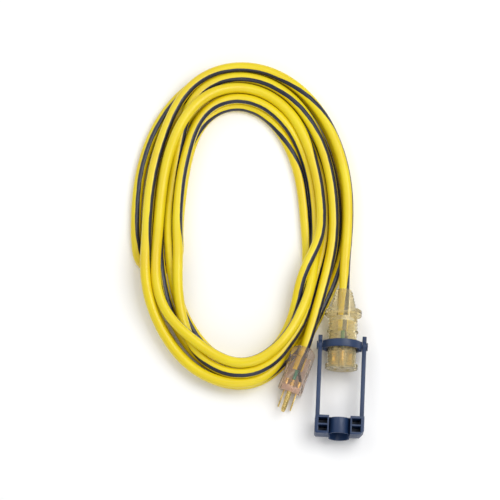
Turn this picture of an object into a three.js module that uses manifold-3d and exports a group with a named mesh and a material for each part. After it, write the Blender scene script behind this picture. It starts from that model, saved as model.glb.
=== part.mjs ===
// Outdoor extension cord, coiled, with a clear plug and a clear connector that carries a
// sliding collar and a swinging locking bail. Millimetres, +Z up. The origin lies on the
// surface, under the middle of the connector and its bail. The connector's axis is parallel
// to Y: its mouth faces -Y and its cord leaves towards +Y.
import * as THREE from 'three';
import { mergeVertices } from 'three/addons/utils/BufferGeometryUtils.js';
import Module from 'manifold-3d';

const wasm = await Module();
wasm.setup();

// ---- driving dimensions ------------------------------------------------------------
const GAP = 0.3;                   // between touching pieces
const CORD_R = 5.2;                // jacket radius of the three-conductor cord
const WIRE_R = 1.9;                // insulated conductor radius
const WIRE_ORBIT = 2.4;            // conductor centres from the cord's axis
const BLADE_PITCH = 12.7;          // between the two blades
const PIN_RISE = 11.9;             // ground pin above the blades' line
const BLADE_HEIGHT = 6.35;
const BLADE_THICK = 1.5;
const BLADE_LENGTH = 17.5;
const PIN_R = 2.4;
const PIN_LENGTH = 21.4;

const COLLAR_R = 19.7;             // the collar is what the connector rests on
const AXIS_Z = COLLAR_R;
const FACE_Y = -5;                 // front face of the connector
const FLANGE_R = 16.3;             // end flange round the face
const BARREL_R = 14.4;
const BARREL_END_Y = 50;
const STOP_Y = 31.4;               // stop rib that ends the collar's travel
const STOP_R = 15.7;
const GRIP_R = 18.5;               // grip flange at the cord end
const RELIEF_END_Y = 76;
const CAVITY_R = 12.9;
const BLOCK_R = 12.6;
const JACKET_END_Y = 35;           // where the jacket is stripped inside the connector
const BLADE_LINE_Z = -4.3;         // the contacts' blade line, from the connector's axis

const COLLAR_Y = 18.5;             // middle of the collar and of the bail's pivots
const COLLAR_WIDTH = 7.7;
const PIVOT_HOLE_R = 2.3;
const ARM_INNER_X = 20;
const ARM_OUTER_X = 24.1;
const ARM_HALF_HEIGHT = 3.6;
const CROSS_Y = -54.2;             // crosspiece, from its inner side ...
const END_Y = -72.6;               // ... to its outer side
const CROSS_HALF_WIDTH = 24.4;
const CROSS_HALF_HEIGHT = 11;
const SADDLE_OUTER_R = 10.3;
const SADDLE_INNER_R = 8.8;

const PLUG_FACE = new THREE.Vector3(-50.2, -28.6, 7.5);
const PLUG_YAW = -0.295;           // radians about Z, from facing -Y
const PLUG_PITCH = 0.14;           // its rear end is raised on the coil
const PLUG_LENGTH = 43;
const PLUG_WIDTH = 24.8;
const PLUG_CORD_Z = 5.5;           // cord axis above the blades' line
const PLUG_JACKET_Y = 23;          // where the jacket is stripped inside the plug

const COIL_HEIGHT = 27;

// ---- materials -----------------------------------------------------------------------
const paint = (color, roughness, metalness = 0, opacity = 1) => new THREE.MeshStandardMaterial({
  color, roughness, metalness, opacity, transparent: opacity < 1,
});
const YELLOW = paint(0xf0dc22, 0.45);
const NAVY = paint(0x2b3f66, 0.5);
const CLEAR = paint(0xd9c9b8, 0.15, 0, 0.5);
const AMBER = paint(0xcdb184, 0.15, 0, 0.5);
const BRASS = paint(0xb89a55, 0.3, 0.9);
const STEEL = paint(0xb9b4a8, 0.25, 0.9);
const WHITE = paint(0xe6e2d8, 0.5);
const BLACK = paint(0x1c1c1e, 0.5);
const GREEN = paint(0x2f8f7a, 0.5);

// ---- helpers ---------------------------------------------------------------------------
function bare(geometry) {
  const copy = geometry.index ? geometry.toNonIndexed() : geometry.clone();
  copy.deleteAttribute('normal');
  copy.deleteAttribute('uv');
  return mergeVertices(copy, 1e-4);
}

function solid(geometry, matrix = new THREE.Matrix4()) {
  const merged = bare(geometry.clone().applyMatrix4(matrix));
  return new wasm.Manifold(new wasm.Mesh({
    numProp: 3,
    vertProperties: new Float32Array(merged.attributes.position.array),
    triVerts: new Uint32Array(merged.index.array),
  }));
}

function shape(body) {
  const mesh = body.getMesh();
  const geometry = new THREE.BufferGeometry();
  geometry.setAttribute('position', new THREE.BufferAttribute(mesh.vertProperties, 3));
  geometry.setIndex(new THREE.BufferAttribute(mesh.triVerts, 1));
  return geometry;
}

const at = (x, y, z) => new THREE.Matrix4().makeTranslation(x, y, z);

function box(x0, x1, y0, y1, z0, z1) {
  const geometry = new THREE.BoxGeometry(x1 - x0, y1 - y0, z1 - z0);
  geometry.translate((x0 + x1) / 2, (y0 + y1) / 2, (z0 + z1) / 2);
  return geometry;
}

// a profile of [radius, y] points, turned about Y
function turned(points, segments = 32) {
  return new THREE.LatheGeometry(points.map(([r, y]) => new THREE.Vector2(r, y)), segments);
}

// the same profile turned about X, with y read as x
function turnedAboutX(points, segments = 16) {
  return turned(points, segments).rotateZ(-Math.PI / 2);
}

function circle(radius, sides) {
  const outline = new THREE.Shape();
  for (let i = 0; i < sides; i += 1) {
    const angle = (i / sides) * 2 * Math.PI;
    const x = radius * Math.cos(angle);
    const y = radius * Math.sin(angle);
    if (i === 0) outline.moveTo(x, y);
    else outline.lineTo(x, y);
  }
  outline.closePath();
  return outline;
}

function tube(points, radius, sides, steps) {
  const route = new THREE.CatmullRomCurve3(points.map((p) => new THREE.Vector3(...p)));
  return new THREE.ExtrudeGeometry(circle(radius, sides), { extrudePath: route, steps });
}

const part = new THREE.Group();
const connector = new THREE.Group();
connector.position.set(0, 0, AXIS_Z);
const plug = new THREE.Group();
plug.position.copy(PLUG_FACE);
plug.rotation.set(PLUG_PITCH, 0, PLUG_YAW, 'ZYX');
part.add(connector, plug);

function piece(parent, name, geometry, material) {
  const mesh = new THREE.Mesh(geometry, material);
  mesh.name = name;
  parent.add(mesh);
}

// ---- connector body ----------------------------------------------------------------------
const shellProfile = [
  [CAVITY_R, FACE_Y], [FLANGE_R - 0.8, FACE_Y], [FLANGE_R, FACE_Y + 0.8], [FLANGE_R, -0.6],
  [BARREL_R, 0.6], [BARREL_R, STOP_Y], [STOP_R, STOP_Y + 0.5], [STOP_R, STOP_Y + 2.2],
  [BARREL_R, STOP_Y + 2.7],
  [BARREL_R, BARREL_END_Y + 1.5], [GRIP_R - 1.5, BARREL_END_Y + 1.5], [GRIP_R - 1.5, BARREL_END_Y - 1],
  [GRIP_R, BARREL_END_Y - 1], [GRIP_R, BARREL_END_Y + 4.5], [GRIP_R - 1.5, BARREL_END_Y + 5.8],
  [13, BARREL_END_Y + 6.6], [9.6, BARREL_END_Y + 12], [7.4, RELIEF_END_Y],
  [CORD_R + GAP, RELIEF_END_Y], [CORD_R + GAP, 49], [9, 46], [CAVITY_R, 43], [CAVITY_R, FACE_Y],
];
piece(connector, 'connector_shell', turned(shellProfile, 36), AMBER);

// a disc or block with the three blade openings; ground is a round hole above the two slots
function contactDisc(yFront, yBack, lineSize, neutralSize, groundRadius) {
  let body = solid(turned([[0, yFront], [BLOCK_R, yFront], [BLOCK_R, yBack], [0, yBack]]));
  for (const [x, [width, height]] of [[BLADE_PITCH / 2, lineSize], [-BLADE_PITCH / 2, neutralSize]]) {
    const z0 = BLADE_LINE_Z - height / 2;
    const z1 = BLADE_LINE_Z + height / 2;
    body = body.subtract(solid(box(x - width / 2, x + width / 2, yFront - 1, yBack + 1, z0, z1)));
  }
  const ground = turned([
    [0, yFront - 1], [groundRadius, yFront - 1], [groundRadius, yBack + 1], [0, yBack + 1],
  ], 20);
  return shape(body.subtract(solid(ground, at(0, 0, BLADE_LINE_Z + PIN_RISE))));
}
const FACE_THICK = 2.5;
const BLOCK_END_Y = 12;
const blockStart = FACE_Y + FACE_THICK + GAP;
const faceDisc = contactDisc(FACE_Y, FACE_Y + FACE_THICK, [2.2, 6.9], [2.2, 8.1], 2.7);
piece(connector, 'connector_face', faceDisc, AMBER);
const block = contactDisc(blockStart, BLOCK_END_Y, [3.5, 8.4], [3.5, 8.4], 3.3);
piece(connector, 'contact_block', block, AMBER);

// blade contact: two spring leaves joined behind, with a crimp tail
function bladeContact(x) {
  const leaf = 0.6;
  const half = 1.4;
  const front = blockStart + 0.6;
  const back = BLOCK_END_Y + 1.5;
  const z0 = BLADE_LINE_Z - 3.8;
  const z1 = BLADE_LINE_Z + 3.8;
  return shape(solid(box(x - half, x - half + leaf, front, back, z0, z1))
    .add(solid(box(x + half - leaf, x + half, front, back, z0, z1)))
    .add(solid(box(x - half, x + half, back - leaf, back, z0, z1)))
    .add(solid(box(x - 1, x + 1, back - 0.1, back + 4, BLADE_LINE_Z - 1.6, BLADE_LINE_Z + 1.6))));
}
piece(connector, 'line_contact', bladeContact(BLADE_PITCH / 2), BRASS);
piece(connector, 'neutral_contact', bladeContact(-BLADE_PITCH / 2), BRASS);
const groundContact = turned([
  [2.5, blockStart + 0.6], [3, blockStart + 0.6], [3, BLOCK_END_Y + 1.5],
  [1.4, BLOCK_END_Y + 2], [1.4, BLOCK_END_Y + 5], [0, BLOCK_END_Y + 5], [0, BLOCK_END_Y + 1],
  [2.5, BLOCK_END_Y + 1], [2.5, blockStart + 0.6],
], 16);
groundContact.translate(0, 0, BLADE_LINE_Z + PIN_RISE);
piece(connector, 'ground_contact', groundContact, BRASS);

// three conductors fan out from the stripped jacket to the contacts
const FAN = { line: -Math.PI / 6, ground: Math.PI / 2, neutral: -Math.PI * 5 / 6 };
function connectorWire(kind, x, z, tailY) {
  const cx = WIRE_ORBIT * Math.cos(FAN[kind]);
  const cz = WIRE_ORBIT * Math.sin(FAN[kind]);
  const route = [
    [x, tailY + GAP, z], [x, tailY + 3, z], [(x + cx) / 2, (tailY + JACKET_END_Y) / 2, (z + cz) / 2],
    [cx, JACKET_END_Y - 3, cz], [cx, JACKET_END_Y - GAP, cz],
  ];
  return tube(route, WIRE_R, 8, 8);
}
const bladeTail = BLOCK_END_Y + 5.5;
piece(connector, 'connector_line_wire',
  connectorWire('line', BLADE_PITCH / 2, BLADE_LINE_Z, bladeTail), BLACK);
piece(connector, 'connector_neutral_wire',
  connectorWire('neutral', -BLADE_PITCH / 2, BLADE_LINE_Z, bladeTail), WHITE);
piece(connector, 'connector_ground_wire',
  connectorWire('ground', 0, BLADE_LINE_Z + PIN_RISE, BLOCK_END_Y + 5), GREEN);

// small lamp beside the ground conductor, with a lead to each blade contact
const LAMP_Y = 17;
const LAMP_X = 6.2;
const LAMP_Z = 6.6;
const lamp = turned([[0, 0], [1.2, 0.2], [1.5, 1], [1.5, 6], [0.9, 7.4], [0, 8]], 10);
lamp.translate(LAMP_X, LAMP_Y, LAMP_Z);
piece(connector, 'indicator_lamp', lamp, paint(0xe8842a, 0.2));
const LEAD_R = 0.35;
piece(connector, 'lamp_lead_line', tube([
  [LAMP_X + 0.9, LAMP_Y - GAP, LAMP_Z], [9, 15.2, 4], [9.6, 15, 0], [7.75, 15.2, BLADE_LINE_Z],
], LEAD_R, 6, 8), STEEL);
piece(connector, 'lamp_lead_neutral', tube([
  [LAMP_X - 0.9, LAMP_Y - GAP, LAMP_Z], [2, 13.9, 2], [-4, 13.9, 0.4], [-7, 14.4, -0.15],
], LEAD_R, 6, 8), STEEL);

// ---- locking collar and bail ---------------------------------------------------------------
const COLLAR_BORE_R = BARREL_R + 0.4;
const y0 = COLLAR_Y - COLLAR_WIDTH / 2;
const y1 = COLLAR_Y + COLLAR_WIDTH / 2;
const collarProfile = [
  [COLLAR_BORE_R, COLLAR_Y - 1.6], [17.4, COLLAR_Y - 1.6], [17.4, y0], [COLLAR_R - 0.4, y0],
  [COLLAR_R, y0 + 0.4],
  [COLLAR_R, y1 - 0.4], [COLLAR_R - 0.4, y1], [17.4, y1], [17.4, COLLAR_Y + 1.6],
  [COLLAR_BORE_R, COLLAR_Y + 1.6],
  [COLLAR_BORE_R, COLLAR_Y - 1.6],
];
const bossGeometry = (x0, x1, radius) => turnedAboutX([[0, x0], [radius, x0], [radius, x1], [0, x1]], 20);
let collar = solid(turned(collarProfile, 36));
for (const side of [-1, 1]) {
  const [inner, outer] = side > 0 ? [16.2, 19.65] : [-19.65, -16.2];
  const [holeInner, holeOuter] = side > 0 ? [16.8, 21] : [-21, -16.8];
  collar = collar.add(solid(bossGeometry(inner, outer, 5.2), at(0, COLLAR_Y, 0)));
  collar = collar.subtract(solid(bossGeometry(holeInner, holeOuter, PIVOT_HOLE_R), at(0, COLLAR_Y, 0)));
}
piece(connector, 'lock_collar', shape(collar), NAVY);

// headed pivot pin: shank through the arm into the collar's boss
const headX = ARM_OUTER_X + GAP;
const PIN_HEAD = [[0, 17.1], [2, 17.1], [2, headX], [4.2, headX], [4.2, 25.2], [3.6, 25.6], [0, 25.6]];
for (const [name, side] of [['pivot_pin_left', -1], ['pivot_pin_right', 1]]) {
  const pin = turnedAboutX(PIN_HEAD, 16);
  if (side < 0) pin.rotateZ(Math.PI);
  pin.translate(0, COLLAR_Y, 0);
  piece(connector, name, pin, NAVY);
}

// one arm of the bail: a flat bar with a round pivot end and a short heel with a knob
const ARM_PIVOT_R = 5.4;
const HEEL = 8.5;
const HEEL_R = 2.1;
function arm(side) {
  const [inner, outer] = side > 0 ? [ARM_INNER_X, ARM_OUTER_X] : [-ARM_OUTER_X, -ARM_INNER_X];
  return solid(box(inner, outer, CROSS_Y - 1, COLLAR_Y, -ARM_HALF_HEIGHT, ARM_HALF_HEIGHT))
    .add(solid(bossGeometry(inner, outer, ARM_PIVOT_R), at(0, COLLAR_Y, 0)))
    .add(solid(box(inner, outer, COLLAR_Y, COLLAR_Y + HEEL, -1.2, 1.2)))
    .add(solid(bossGeometry(inner, outer, HEEL_R), at(0, COLLAR_Y + HEEL, 0)))
    .subtract(solid(bossGeometry(inner - 1, outer + 1, PIVOT_HOLE_R), at(0, COLLAR_Y, 0)));
}

// crosspiece outline seen from above, with its two outer corners cut
const CORNER = 4;
const SMALL_CORNER = 1.5;
const plan = new THREE.Shape();
plan.moveTo(-CROSS_HALF_WIDTH, CROSS_Y);
plan.lineTo(-CROSS_HALF_WIDTH, END_Y + SMALL_CORNER);
plan.lineTo(-CROSS_HALF_WIDTH + SMALL_CORNER, END_Y);
plan.lineTo(CROSS_HALF_WIDTH - CORNER, END_Y);
plan.lineTo(CROSS_HALF_WIDTH, END_Y + CORNER);
plan.lineTo(CROSS_HALF_WIDTH, CROSS_Y);
plan.closePath();
const crossBlock = new THREE.ExtrudeGeometry(plan, { depth: 2 * CROSS_HALF_HEIGHT, bevelEnabled: false });
crossBlock.translate(0, 0, -CROSS_HALF_HEIGHT);

const END_PLATE = 2.4;
const POCKET_OUTER_X = CROSS_HALF_WIDTH - 3.3;
const POCKET_INNER_X = SADDLE_OUTER_R + 1.9;
const POCKET_FLOOR_Z = -6;
const pocketY0 = END_Y + END_PLATE;
const pocketY1 = CROSS_Y - 2.4;
const ribY = (pocketY0 + pocketY1) / 2;
let bail = solid(crossBlock);
for (const side of [-1, 1]) {
  const [x0, x1] = side > 0 ? [POCKET_INNER_X, POCKET_OUTER_X] : [-POCKET_OUTER_X, -POCKET_INNER_X];
  const top = CROSS_HALF_HEIGHT + 1;
  bail = bail.subtract(solid(box(x0, x1, pocketY0, ribY - 0.8, POCKET_FLOOR_Z, top)));
  bail = bail.subtract(solid(box(x0, x1, ribY + 0.8, pocketY1, POCKET_FLOOR_Z, top)));
}
// the middle is cut down to the saddle's half-round top
const saddleSide = POCKET_INNER_X - 1.6;
const lipY = END_Y - 3.4;           // the lower half of the saddle stands forward as a lip
const overSaddle = solid(box(-saddleSide, saddleSide, END_Y - 1, CROSS_Y + 1, 0, CROSS_HALF_HEIGHT + 1));
bail = bail.subtract(overSaddle);
const rod = (radius, from, to) => turned([[0, from], [radius, from], [radius, to], [0, to]]);
const overLip = solid(box(-20, 20, lipY - 1, END_Y + 1.2, 0, 20));
const arch = solid(rod(SADDLE_OUTER_R, lipY, CROSS_Y - 1.2)).subtract(overLip);
bail = bail.add(arch).add(arm(-1)).add(arm(1));
bail = bail.subtract(solid(rod(SADDLE_INNER_R, lipY - 1, CROSS_Y + 1)));
piece(connector, 'bail_frame', shape(bail), NAVY);

// ---- plug -------------------------------------------------------------------------------------
// side outline, in Y and Z: tall at the face, lower at the cord end
const PLUG_FACE_Z = [-7.2, 17.6];
const PLUG_REAR_Z = [PLUG_CORD_Z - 7.8, PLUG_CORD_Z + 7.8];
const SHOULDER = 4.4;
function outlineOf(points) {
  return new THREE.Shape(points.map(([x, y]) => new THREE.Vector2(x, y)));
}
const bodySide = outlineOf([
  [0, PLUG_FACE_Z[0]], [PLUG_LENGTH, PLUG_REAR_Z[0]], [PLUG_LENGTH + SHOULDER, PLUG_CORD_Z - 6.4],
  [PLUG_LENGTH + SHOULDER, PLUG_CORD_Z + 6.4], [PLUG_LENGTH, PLUG_REAR_Z[1]], [0, PLUG_FACE_Z[1]],
]);
const PLUG_WALL = 2.4;
const hollowRear = PLUG_LENGTH - 6;
const hollowSide = outlineOf([
  [-1, PLUG_FACE_Z[0] + PLUG_WALL], [8, PLUG_FACE_Z[0] + PLUG_WALL],
  [hollowRear, PLUG_REAR_Z[0] + PLUG_WALL],
  [hollowRear, PLUG_REAR_Z[1] - PLUG_WALL], [8, PLUG_FACE_Z[1] - PLUG_WALL],
  [-1, PLUG_FACE_Z[1] - PLUG_WALL],
]);
// an outline in Y and Z, extruded along X and centred on X = 0
function alongX(outline, width, bevel = 0) {
  const geometry = new THREE.ExtrudeGeometry(outline, {
    depth: width - 2 * bevel,
    bevelEnabled: bevel > 0,
    bevelThickness: bevel,
    bevelSize: bevel,
    bevelOffset: -bevel,
    bevelSegments: 3,
  });
  geometry.translate(0, 0, -(width - 2 * bevel) / 2);
  geometry.rotateY(Math.PI / 2);
  geometry.rotateX(Math.PI / 2);
  return geometry;
}
const hollow = solid(alongX(hollowSide, PLUG_WIDTH - 2 * PLUG_WALL));
const cordHole = turned([[0, 30], [CORD_R + GAP, 30], [CORD_R + GAP, 50], [0, 50]], 24);
cordHole.translate(0, 0, PLUG_CORD_Z);
const plugBody = solid(alongX(bodySide, PLUG_WIDTH, PLUG_WALL));
const wings = outlineOf([
  [-PLUG_WIDTH / 2, -1], [PLUG_WIDTH / 2, -1], [PLUG_WIDTH / 2, PLUG_LENGTH],
  [6.6, PLUG_LENGTH + SHOULDER + 0.5], [-6.6, PLUG_LENGTH + SHOULDER + 0.5],
  [-PLUG_WIDTH / 2, PLUG_LENGTH],
]);
const planCut = new THREE.ExtrudeGeometry(wings, { depth: 40, bevelEnabled: false });
planCut.translate(0, 0, -15);
const plugShell = plugBody.intersect(solid(planCut)).subtract(hollow).subtract(solid(cordHole));
piece(plug, 'plug_shell', shape(plugShell), CLEAR);

// insulating carrier in the plug's mouth, with a hole for each blade and the ground pin
const CARRIER_DEPTH = 6;
const CARRIER_HALF = PLUG_WIDTH / 2 - PLUG_WALL - GAP;
let carrier = solid(box(-CARRIER_HALF, CARRIER_HALF, 0.4, CARRIER_DEPTH,
  PLUG_FACE_Z[0] + PLUG_WALL + GAP, PLUG_FACE_Z[1] - PLUG_WALL - GAP));
const bladeHoleX = BLADE_THICK / 2 + GAP;
const bladeHoleZ = BLADE_HEIGHT / 2 + GAP;
for (const x of [-BLADE_PITCH / 2, BLADE_PITCH / 2]) {
  carrier = carrier.subtract(solid(box(x - bladeHoleX, x + bladeHoleX, 0, 8, -bladeHoleZ, bladeHoleZ)));
}
const pinHole = turned([[0, 0], [PIN_R + GAP, 0], [PIN_R + GAP, 8], [0, 8]], 16);
piece(plug, 'blade_carrier', shape(carrier.subtract(solid(pinHole, at(0, 0, PIN_RISE)))), WHITE);

// blade: a chamfered plate with a round hole, and a crimp barrel behind the carrier
const BLADE_TAIL_Y = 9;
const CRIMP_R = 1.9;
function blade() {
  const half = BLADE_HEIGHT / 2;
  const outline = new THREE.Shape();
  outline.moveTo(BLADE_TAIL_Y, -half);
  outline.lineTo(BLADE_TAIL_Y, half);
  outline.lineTo(-BLADE_LENGTH + 1.6, half);
  outline.lineTo(-BLADE_LENGTH, half - 1.4);
  outline.lineTo(-BLADE_LENGTH, -half + 1.4);
  outline.lineTo(-BLADE_LENGTH + 1.6, -half);
  outline.closePath();
  const start = BLADE_TAIL_Y - 0.5;
  const crimp = turned([[0, start], [CRIMP_R, start], [CRIMP_R, 13], [0, 13]], 12);
  const hole = bossGeometry(-2, 2, 1.6);
  return shape(solid(alongX(outline, BLADE_THICK)).add(solid(crimp))
    .subtract(solid(hole, at(0, -BLADE_LENGTH + 5, 0))));
}
for (const [name, x] of [['line_blade', BLADE_PITCH / 2], ['neutral_blade', -BLADE_PITCH / 2]]) {
  const geometry = blade();
  geometry.translate(x, 0, 0);
  piece(plug, name, geometry, BRASS);
}
const groundPin = turned([
  [0, -PIN_LENGTH], [1.3, -PIN_LENGTH + 0.5], [2.1, -PIN_LENGTH + 1.5], [PIN_R, -PIN_LENGTH + 3],
  [PIN_R, 9], [1.6, 9.5], [1.6, 13], [0, 13],
], 16);
groundPin.translate(0, 0, PIN_RISE);
piece(plug, 'ground_pin', groundPin, BRASS);

function plugWire(kind, x, z) {
  const cx = WIRE_ORBIT * Math.cos(FAN[kind]);
  const cz = PLUG_CORD_Z + WIRE_ORBIT * Math.sin(FAN[kind]);
  const start = 13 + GAP;
  const route = [
    [x, start, z], [x, start + 1.5, z], [(x + cx) / 2, (start + PLUG_JACKET_Y) / 2, (z + cz) / 2],
    [cx, PLUG_JACKET_Y - 1.5, cz], [cx, PLUG_JACKET_Y - GAP, cz],
  ];
  return tube(route, WIRE_R - 0.2, 8, 8);
}
piece(plug, 'plug_line_wire', plugWire('line', BLADE_PITCH / 2, 0), BLACK);
piece(plug, 'plug_neutral_wire', plugWire('neutral', -BLADE_PITCH / 2, 0), WHITE);
piece(plug, 'plug_ground_wire', plugWire('ground', 0, PIN_RISE), GREEN);

// ---- cord ---------------------------------------------------------------------------------------
// the coil as one solid: the outer shape of all its turns, open in the middle
const coilOutside = [
  [6.8, 118], [8, 150], [5, 185], [-9.5, 232], [-34, 274], [-71, 304], [-109, 312.5],
  [-152, 301.5], [-189, 266],
  [-211, 213], [-217, 155], [-213, 107], [-199, 57], [-173, 9], [-139, -21], [-104, -28],
  [-78, -26], [-66.8, -20],
];
const coilBesideLead = [
  [-60.8, -6], [-54.8, 18], [-47.8, 27], [-40.6, 44], [-32.5, 64], [-25.5, 84], [-22, 96],
  [-21.5, 102], [4.4, 102],
];
const coilInside = [
  [-51.5, 156], [-57.5, 199], [-76, 242], [-111, 262.5], [-146, 249], [-158, 208], [-161, 160],
  [-159, 110], [-155, 59],
  [-137, 22], [-102, -2], [-75, 9], [-56.5, 31], [-49, 64], [-48, 105],
];
const flat = (points) => points.map(([x, y]) => new THREE.Vector2(x, y));
const outside = new THREE.SplineCurve(flat(coilOutside)).getPoints(44);
const COIL_ROUND = 5;
const fullCoil = new THREE.ExtrudeGeometry(new THREE.Shape([...outside, ...flat(coilBesideLead)]), {
  depth: COIL_HEIGHT - 2 * COIL_ROUND,
  bevelEnabled: true,
  bevelThickness: COIL_ROUND,
  bevelSize: COIL_ROUND,
  bevelOffset: -COIL_ROUND,
  bevelSegments: 2,
});
const inside = new THREE.SplineCurve(flat([...coilInside, coilInside[0]])).getPoints(45).slice(0, -1);
const middle = new THREE.ExtrudeGeometry(new THREE.Shape(inside), { depth: 40, bevelEnabled: false });
const coil = solid(fullCoil, at(0, 0, COIL_ROUND)).subtract(solid(middle, at(0, 0, -5)));
piece(part, 'cord_coil', shape(coil), YELLOW);

const LEAD_END_Y = 101.1;
const connectorLead = [
  [0, JACKET_END_Y, AXIS_Z], [0, 55, AXIS_Z], [0, RELIEF_END_Y + 2, AXIS_Z], [-0.4, 90, 18.6],
  [-0.8, LEAD_END_Y, 17],
];
piece(part, 'cord_lead_connector', tube(connectorLead, CORD_R, 10, 8), YELLOW);

plug.updateMatrixWorld(true);
const inPlug = (y) => plug.localToWorld(new THREE.Vector3(0, y, PLUG_CORD_Z)).toArray();
const plugLead = [
  inPlug(PLUG_JACKET_Y), inPlug(33), inPlug(PLUG_LENGTH + 3),
  [-29.8, 43, 19.5], [-23.2, 70, 18.6], [-14.6, 99.4, 17],
];
piece(part, 'cord_lead_plug', tube(plugLead, CORD_R, 10, 12), YELLOW);

export default part;
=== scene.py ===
"""Looks of a coiled outdoor extension cord with a clear plug and a clear locking connector.

Sizes are millimetres in the CAD frame and become metres when a mesh is made. The connector's
axis is parallel to Y, its mouth faces -Y, and the cord lies in a doubled coil beside it.
"""

import math

import bmesh
import bpy
import numpy as np
from mathutils import Matrix, Vector


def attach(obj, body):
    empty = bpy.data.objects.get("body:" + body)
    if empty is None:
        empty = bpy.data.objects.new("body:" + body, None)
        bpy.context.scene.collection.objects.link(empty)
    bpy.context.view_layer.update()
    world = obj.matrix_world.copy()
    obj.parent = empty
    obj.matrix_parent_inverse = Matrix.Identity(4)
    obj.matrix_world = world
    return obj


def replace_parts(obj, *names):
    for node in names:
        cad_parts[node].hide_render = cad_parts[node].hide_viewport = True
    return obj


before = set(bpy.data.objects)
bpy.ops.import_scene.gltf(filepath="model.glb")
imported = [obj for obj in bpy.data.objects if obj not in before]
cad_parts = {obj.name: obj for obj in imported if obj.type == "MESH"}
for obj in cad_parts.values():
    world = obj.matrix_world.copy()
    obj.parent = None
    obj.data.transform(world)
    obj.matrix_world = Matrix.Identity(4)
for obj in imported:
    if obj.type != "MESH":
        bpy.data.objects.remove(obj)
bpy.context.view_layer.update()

MM = 0.001

# ---- driving dimensions, as in the CAD -----------------------------------------------------
CORD_R = 5.2
AXIS_Z = 19.7                      # height of the connector's axis
WIRE_R = 1.9
WIRE_ORBIT = 2.4
JACKET_END_Y = 35                  # where the jacket is stripped inside the connector
BLADE_PITCH = 12.7
PIN_RISE = 11.9
BLADE_LINE_Z = -4.3
COLLAR_Y = 18.5
FACE_Y = -5
CROSS_Y, END_Y = -54.2, -72.6
RELIEF_END_Y = 76
PLUG_FACE = Vector((-50.2, -28.6, 7.5))
PLUG_YAW, PLUG_PITCH = -0.295, 0.14
PLUG_CORD_Z = 5.5
PLUG_JACKET_Y = 23

CONNECTOR = Matrix.Translation((0, 0, AXIS_Z))
PLUG_TURN = Matrix.Rotation(PLUG_YAW, 4, "Z") @ Matrix.Rotation(PLUG_PITCH, 4, "X")
PLUG = Matrix.Translation(PLUG_FACE) @ PLUG_TURN
ROOT, COLLAR, BAIL = "cord_set", "lock_collar", "locking_bail"


# ---- camera --------------------------------------------------------------------------------
def make_camera():
    target = Vector((-96.5, 115, 12)) * MM
    elevation, roll = math.radians(76), math.radians(2.6)
    distance, seen = 3.2, 0.505                  # metres
    back = Vector((0, -math.cos(elevation), math.sin(elevation)))
    data = bpy.data.cameras.new("camera")
    data.sensor_width = 36
    data.lens = 36 * distance / seen
    camera = bpy.data.objects.new("camera", data)
    camera.location = target + back * distance
    aimed = (-back).to_track_quat("-Z", "Y").to_matrix() @ Matrix.Rotation(roll, 3, "Z")
    camera.rotation_euler = aimed.to_euler()
    bpy.context.scene.collection.objects.link(camera)
    bpy.context.scene.camera = camera


make_camera()


# ---- route of the cord ---------------------------------------------------------------------
# The coil lies between two ovals. Eight strands lie side by side and on each other, each in
# a lane (0 at the outer oval, 1 at the inner one) and at a height.
OUTER = [
    (5.4, 118), (6, 150), (3.5, 185), (-10, 232), (-34, 274), (-71, 304), (-109, 313.5), (-152, 302),
    (-189, 266), (-211, 213), (-217, 155), (-213, 107), (-199, 57), (-173, 9), (-139, -21),
    (-104, -27.5), (-78, -25.5), (-62, -14), (-50, 9), (-36, 30), (-22, 60), (-7, 92),
]
INNER = [
    (-51.5, 156), (-57.5, 202), (-76, 246), (-111, 266.5), (-146, 252.5), (-158, 208), (-161, 160),
    (-159, 110), (-155, 59), (-137, 21), (-102, -4), (-75, 7), (-56, 31), (-49, 64), (-48, 105),
]
COIL_CENTRE = np.array([-105.0, 140.0])
FLOOR, UPPER = CORD_R, 3 * CORD_R
# first letter: right, top, left, fold, knee, bottom, and lower right of the coil
SPAN = {
    "r": (-6, 48), "t": (78, 108), "l": (132, 188), "f": (202, 204), "k": (220, 234), "b": (258, 286),
    "q": (304, 310),
}
SLOTS = {
    "r0": (0.03, FLOOR), "r1": (0.27, FLOOR), "r2": (0.51, FLOOR), "r3": (0.755, FLOOR), "r4": (1, FLOOR),
    "ra": (0, UPPER), "rp": (0.33, 15), "rd": (0.62, 14.3),
    "t0": (0, FLOOR), "t1": (0.333, FLOOR), "t2": (0.667, FLOOR), "t4": (1, FLOOR),
    "ta": (0, UPPER), "tb": (0.29, UPPER), "tc": (0.58, UPPER), "t3": (0.87, 14.8),
    "l0": (0, FLOOR), "l1": (0.25, FLOOR), "l2": (0.5, FLOOR), "l3": (0.75, FLOOR), "l4": (1, FLOOR),
    "lb": (0.27, UPPER), "ld": (0.54, 15.4), "le": (0.95, 14.6),
    "f0": (-0.09, FLOOR), "f4": (0.98, FLOOR), "fe": (1.0, 15),
    "k0": (0.05, FLOOR), "k1": (0.46, FLOOR), "k2": (0.80, FLOOR),
    "ku": (0, UPPER), "ks": (0.84, 14.5), "kt": (0.29, UPPER),
    "b0": (0, FLOOR), "b1": (0.5, FLOOR), "b2": (1, FLOOR),
    "bu": (-0.08, UPPER), "bs": (0.43, UPPER), "bt": (0.90, UPPER),
    "q0": (0, FLOOR), "q1": (0.78, FLOOR), "q2": (1, 14.5),
    "qu": (0.27, 8), "qs": (0.46, 14.5), "qt": (0.76, 19),
}
# the cord is folded once, and both halves are wound the same way from their ends to the fold
CONNECTOR_HALF = "ra ta lb ku bu qu r1 t1 l1 k0 b0 q0 r0 t0 l0 f0"
PLUG_HALF = "rp tb l3 k2 b2 q2 rd tc ld kt bt qt r3 t3 le fe ks bs qs r2 t2 l2 k1 b1 q1 r4 t4 l4 f4"
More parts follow.
